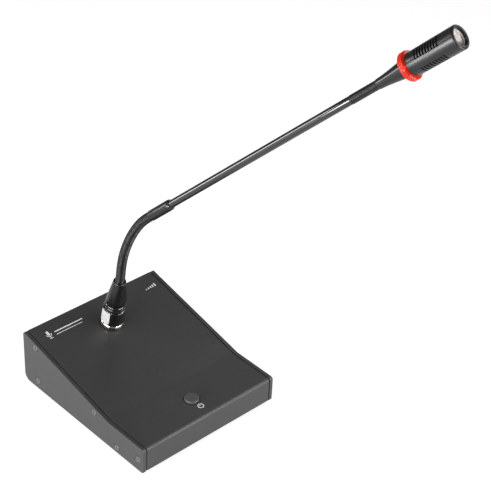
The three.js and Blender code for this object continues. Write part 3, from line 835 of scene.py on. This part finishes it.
# ---- Head sleeve ----
# A spun sleeve that swells from the hose to the light ring, with a stem inside that carries the barrel.
sleeve = turned("head_sleeve_flare", [
    (1.6, 231.7), (3.35, 231.7), (3.55, 232.0), (3.62, 232.6), (3.7, 234.0), (3.9, 237.0), (4.2, 240.0),
    (4.6, 243.5), (5.05, 247.0), (5.5, 250.4), (5.88, 253.4), (6.08, 255.4), (6.1, 256.2), (5.95, 256.5),
    (3.2, 256.5), (3.2, 260.8), (1.6, 260.8)], 72, closed=True)
bpy.ops.object.shade_smooth_by_angle(angle=math.radians(50))
place(sleeve, neck_frame)
dress(sleeve, collar_black)
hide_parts("head_sleeve")
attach(sleeve, "head")


# ---- Light ring ----
# A clear red ring in three rounded beads, lit from inside while the microphone is live.
light_ring = turned("red_light_ring", [
    (6.6, 256.8), (9.3, 256.8), (9.8, 257.0), (10.0, 257.45), (9.95, 257.9), (9.6, 258.1), (9.6, 258.2),
    (9.95, 258.4), (10.0, 258.8), (9.95, 259.2), (9.6, 259.4), (9.6, 259.5), (9.95, 259.7), (10.0, 260.15),
    (9.8, 260.6), (9.3, 260.8), (6.6, 260.8)], 96, closed=True)
bpy.ops.object.shade_smooth_by_angle(angle=math.radians(70))
place(light_ring, neck_frame)
red_light = bpy.data.materials.new("lit_red_plastic")
red_light.use_nodes = True
glow = red_light.node_tree
glow_shader = glow.nodes["Principled BSDF"]
glow_place = glow.nodes.new("ShaderNodeTexCoord")
glow_cloud = noise(glow, glow_place.outputs["Object"], 160.0, 2.0)
glow.links.new(blend_colours(glow, glow_cloud, (0.5, 0.012, 0.004, 1), (0.62, 0.03, 0.01, 1)),
               glow_shader.inputs["Base Color"])
glow.links.new(blend_colours(glow, glow_cloud, (1.0, 0.04, 0.012, 1), (1.0, 0.08, 0.03, 1)),
               glow_shader.inputs["Emission Color"])
glow.links.new(remap(glow, glow_cloud, 0.3, 0.7, 0.05, 0.1), glow_shader.inputs["Roughness"])
glow_shader.inputs["Emission Strength"].default_value = 0.15
glow_shader.inputs["Transmission Weight"].default_value = 0.45
glow_shader.inputs["IOR"].default_value = 1.49
dress(light_ring, red_light)
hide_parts("light_ring")
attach(light_ring, "head")


# ---- Barrel ----
# Three rows of nine slots let sound in from the sides. The front edge is turned to a smooth lip
# round the recessed mesh, and black cloth lines the wall behind the slots.
barrel = turned("head_barrel_slotted", [
    (3.0, 261.1), (7.4, 261.1), (7.8, 261.3), (8.0, 261.7), (8.0, 266.5), (8.3, 298.9), (8.25, 299.3),
    (8.0, 299.7), (7.6, 299.93), (7.1, 300.0), (6.4, 300.0), (6.1, 299.85), (5.95, 299.5), (5.95, 298.3),
    (6.8, 297.8), (6.8, 262.6), (3.0, 262.6)], 96, closed=True)
slot_cutter = turned(
    "slot_cutter", [(5.6, -0.56), (10.0, -0.56), (10.0, 0.56), (5.6, 0.56)], 144, closed=True)
HALF_SLOT = math.radians(37)
SLOT_TURN = -4  # degrees from the lean axis to the middle of the first row
FIRST_SLOT = 269.5  # this and the next are in mm up the neck's axis
SLOT_STEP = 2.25
for side in (1, -1):
    pick(slot_cutter, "FACE", lambda c, n: True)
    bpy.ops.mesh.bisect(plane_co=(0, 0, 0), clear_outer=True, use_fill=True,
                        plane_no=(-math.sin(HALF_SLOT), side * math.cos(HALF_SLOT), 0))
    done()
pick(slot_cutter, "EDGE", lambda a, b: (a.xy - b.xy).length > 1.5 * MM
     and abs(abs(math.atan2(a.y, a.x)) - HALF_SLOT) < 0.01)
bpy.ops.mesh.bevel(offset=0.5 * MM, segments=4, profile=0.5, affect="EDGES")
done()
cutters = []
for row in range(3):
    for i in range(9):
        one = copied(slot_cutter, f"slot_{row}_{i}")
        place(one, Matrix.Translation((0, 0, (FIRST_SLOT + i * SLOT_STEP) * MM))
              @ Matrix.Rotation(math.radians(120 * row + SLOT_TURN), 4, "Z"))
        cutters.append(one)
bpy.data.objects.remove(slot_cutter, do_unlink=True)
bpy.ops.object.select_all(action="DESELECT")
for one in cutters:
    one.select_set(True)
bpy.context.view_layer.objects.active = cutters[0]
bpy.ops.object.join()
carve(barrel, bpy.context.object)
soften(barrel, 0.1 * MM, 2, 40)
place(barrel, neck_frame)
barrel_black = coated(
    "barrel_satin_black", (0.018, 0.018, 0.0185), 0.24, 3000.0, 0.004 * MM, 0.08, metallic=0.3)
dress(barrel, barrel_black)
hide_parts("head_barrel")
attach(barrel, "head")

liner = turned(
    "slot_liner_cloth", [(6.55, 263.0), (6.72, 263.0), (6.72, 289.8), (6.55, 289.8)], 64, closed=True)
bpy.ops.object.shade_smooth_by_angle(angle=math.radians(50))
place(liner, neck_frame)
liner_cloth = coated("black_acoustic_cloth", (0.006, 0.006, 0.006), 0.9, 1600.0, 0.05 * MM, 0.0)
dress(liner, liner_cloth)
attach(liner, "head")


# ---- Front mesh and capsule ----
# Woven wire cloth in a pressed rim closes the front. The capsule sits close behind it in a rubber cup.
WIRE_STEP = 0.42 * MM
bpy.ops.mesh.primitive_grid_add(x_subdivisions=30, y_subdivisions=30, size=30 * WIRE_STEP)
front_mesh = bpy.context.object
front_mesh.name = "front_mesh_weave"
pick(front_mesh, "VERT", lambda v: (round(v.x / WIRE_STEP) + round(v.y / WIRE_STEP)) % 2 == 0)
bpy.ops.transform.translate(value=(0, 0, 0.11 * MM))
done()
pick(front_mesh, "VERT", lambda v: v.xy.length > 6.15 * MM)
bpy.ops.mesh.delete(type="VERT")
done()
apply_modifier(front_mesh, "WIREFRAME", thickness=0.17 * MM, use_even_offset=False, use_boundary=True)
bpy.ops.object.shade_smooth_by_angle(angle=math.radians(60))
place(front_mesh, neck_frame @ Matrix.Translation((0, 0, 297.15 * MM)))
mesh_silver = bright_metal("silver_mesh", (0.95, 0.88, 0.85), 0.42, 0.002 * MM)
dress(front_mesh, mesh_silver)
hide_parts("front_grille")
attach(front_mesh, "head")

mesh_rim = turned("front_mesh_rim", [
    (5.95, 296.75), (6.4, 296.75), (6.5, 297.0), (6.5, 297.5), (6.3, 297.7), (6.05, 297.65), (5.95, 297.4)],
    72, closed=True)
bpy.ops.object.shade_smooth_by_angle(angle=math.radians(50))
place(mesh_rim, neck_frame)
dress(mesh_rim, mesh_silver)
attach(mesh_rim, "head")

capsule = turned("capsule_can", [
    (4.3, 290.0), (4.75, 290.1), (4.9, 290.4), (4.9, 295.7), (4.75, 296.1), (4.4, 296.3), (1.3, 296.3),
    (1.1, 296.1), (0.2, 296.1)], 64)
bpy.ops.object.shade_smooth_by_angle(angle=math.radians(40))
place(capsule, neck_frame)
capsule_tin = bright_metal("capsule_tin", (0.55, 0.5, 0.485), 0.4, 0.002 * MM)
dress(capsule, capsule_tin)
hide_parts("capsule")
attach(capsule, "head")
dress(frame["nodes"]["capsule_holder"], foot_rubber)


# ---- Output socket on the rear wall ----
# A die-cast flange with a round mouth, a keyway, three gilt pins in a black insert and two screws.
flange = block("output_flange", (-13 * MM, -15.5 * MM, 0.3 * MM), (13 * MM, 15.5 * MM, 2.5 * MM))
pick(flange, "EDGE", lambda a, b: abs(a.z - b.z) > 1 * MM)
bpy.ops.mesh.bevel(offset=3.0 * MM, segments=8, profile=0.5, affect="EDGES")
done()
output_shell = turned("output_shell_cast", [(11.6, -20.0), (11.6, 1.0)], 96)
apply_modifier(output_shell, "BOOLEAN", operation="UNION", object=flange, solver="EXACT")
bpy.data.objects.remove(flange, do_unlink=True)
SCREW_HOLES = [(-9.5, 12.0), (9.5, -12.0)]
carve(output_shell, drill(9.3 * MM, -18 * MM, 5 * MM, Matrix.Identity(4), 96))
carve(output_shell, drill(2.2 * MM, -25 * MM, 0, Matrix.Identity(4), 40))
carve(output_shell, drill(0.9 * MM, -6 * MM, 5 * MM, Matrix.Translation((0, 9.3 * MM, 0)), 32))
for x, y in SCREW_HOLES:
    carve(output_shell, drill(1.8 * MM, -8 * MM, 8 * MM, Matrix.Translation((x * MM, y * MM, 0)), 40))
soften(output_shell, 0.3 * MM, 3, 40)
place(output_shell, out_frame)
dress(output_shell, rim_black)
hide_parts("output_shell")
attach(output_shell, "base")

insulator = coated("black_insulator", (0.02, 0.02, 0.021), 0.45, 2800.0, 0.008 * MM, 0.05)
gilt = bright_metal("gilt_contacts", (0.88, 0.62, 0.25), 0.2, 0.002 * MM)
PIN_TURNS = (90, 210, 330)
PIN_CIRCLE = 3.9 * MM


def contact_pins(prefix, radius, low, tip, matrix, body):
    for k, turn in enumerate(PIN_TURNS, 1):
        pin = turned(f"{prefix}_{k}", [
            (radius, low), (radius, tip - 0.9), (radius * 0.85, tip - 0.45), (radius * 0.55, tip - 0.1),
            (radius * 0.3, tip)], 32)
        bpy.ops.object.shade_smooth_by_angle(angle=math.radians(50))
        angle = math.radians(turn)
        spot = (PIN_CIRCLE * math.cos(angle), PIN_CIRCLE * math.sin(angle), 0)
        place(pin, matrix @ Matrix.Translation(spot))
        dress(pin, gilt)
        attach(pin, body)


output_disc = turned("output_insert_disc", [(8.8, -17.7), (9.0, -17.5), (9.0, -14.8), (8.7, -14.5)], 72)
bpy.ops.object.shade_smooth_by_angle(angle=math.radians(40))
place(output_disc, out_frame)
dress(output_disc, insulator)
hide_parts("output_insert")
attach(output_disc, "base")
contact_pins("output_pin", 1.2, -15.0, -4.2, out_frame, "base")

for k, (x, y) in enumerate(SCREW_HOLES, 1):
    pan_screw = turned(f"output_pan_screw_{k}", [
        (1.3, -7.0), (1.3, 2.8), (2.75, 2.8), (2.8, 3.0), (2.75, 3.5), (2.4, 4.05), (1.7, 4.35),
        (0.8, 4.4)], 48)
    cross_recess(pan_screw, 1.4, 6, 3.5, 35 * k)
    soften(pan_screw, 0.07 * MM, 2, 35)
    place(pan_screw, out_frame @ Matrix.Translation((x * MM, y * MM, 0)))
    dress(pan_screw, blackened)
    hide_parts(f"output_screw_{k}")
    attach(pan_screw, "base")


# ---- Inserts inside the neck's plug and its socket ----
# Seen only when the neck is unplugged: pins in the base, sockets in the nose of the plug.
socket_disc = turned("socket_insert_disc", [(7.1, -18.7), (7.3, -18.5), (7.3, -16.3), (7.0, -16.0)], 64)
bpy.ops.object.shade_smooth_by_angle(angle=math.radians(40))
place(socket_disc, plug_frame)
dress(socket_disc, insulator)
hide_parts("socket_insert")
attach(socket_disc, "base")
contact_pins("socket_pin", 1.1, -16.5, -6.2, plug_frame, "base")

plug_disc = turned("plug_insert_block", [(5.5, -13.6), (5.9, -13.2), (5.9, 4.0), (5.0, 4.0)], 64)
for turn in PIN_TURNS:
    angle = math.radians(turn)
    carve(plug_disc, drill(1.45 * MM, -15 * MM, -4 * MM, Matrix.Translation(
        (PIN_CIRCLE * math.cos(angle), PIN_CIRCLE * math.sin(angle), 0)), 32))
soften(plug_disc, 0.12 * MM, 2, 40)
place(plug_disc, plug_frame)
dress(plug_disc, insulator)
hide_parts("plug_insert")
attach(plug_disc, "plug")

hex_nut = turned("socket_hex_nut", [(11.4, -4.6), (11.8, -4.3), (11.8, -2.1), (11.4, -1.8)], 6)
carve(hex_nut, drill(9.2 * MM, -8 * MM, 2 * MM, Matrix.Identity(4), 72))
soften(hex_nut, 0.15 * MM, 2, 35)
place(hex_nut, plug_frame)
dress(hex_nut, nickel)
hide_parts("socket_nut")
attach(hex_nut, "base")


# ---- Circuit board and its parts ----
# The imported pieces, out of sight inside the base, in their own materials: green lacquered board
# with darker tracks, zinc posts and spring, a varnished transformer and sleeved capacitors.
board_green = bpy.data.materials.new("board_lacquer")
board_green.use_nodes = True
lacquer = board_green.node_tree
lacquer_shader = lacquer.nodes["Principled BSDF"]
lacquer_place = lacquer.nodes.new("ShaderNodeTexCoord")
tracks = lacquer.nodes.new("ShaderNodeTexBrick")
tracks.inputs["Scale"].default_value = 90.0
tracks.inputs["Mortar Size"].default_value = 0.03
tracks.inputs["Color1"].default_value = (0.02, 0.16, 0.06, 1)
tracks.inputs["Color2"].default_value = (0.025, 0.19, 0.07, 1)
tracks.inputs["Mortar"].default_value = (0.06, 0.3, 0.12, 1)
lacquer.links.new(lacquer_place.outputs["Object"], tracks.inputs["Vector"])
lacquer.links.new(tracks.outputs["Color"], lacquer_shader.inputs["Base Color"])
lacquer.links.new(remap(lacquer, noise(lacquer, lacquer_place.outputs["Object"], 300.0), 0.3, 0.7, 0.25, 0.4),
                  lacquer_shader.inputs["Roughness"])
zinc = bright_metal("zinc_plate", (0.62, 0.62, 0.6), 0.3, 0.004 * MM)
varnish = coated("varnished_copper", (0.3, 0.09, 0.03), 0.35, 1400.0, 0.02 * MM, 0.0, metallic=0.6)
sleeve_plastic = coated("capacitor_sleeve", (0.015, 0.018, 0.03), 0.35, 2500.0, 0.005 * MM, 0.0)
for name, material in [
    ("main_board", board_green), ("light_board", board_green), ("transformer", varnish),
    ("capacitor_1", sleeve_plastic), ("capacitor_2", sleeve_plastic), ("switch_body", insulator),
    ("button_spring", zinc), *((f"board_post_{i}", zinc) for i in range(1, 5)),
]:
    dress(frame["nodes"][name], material)
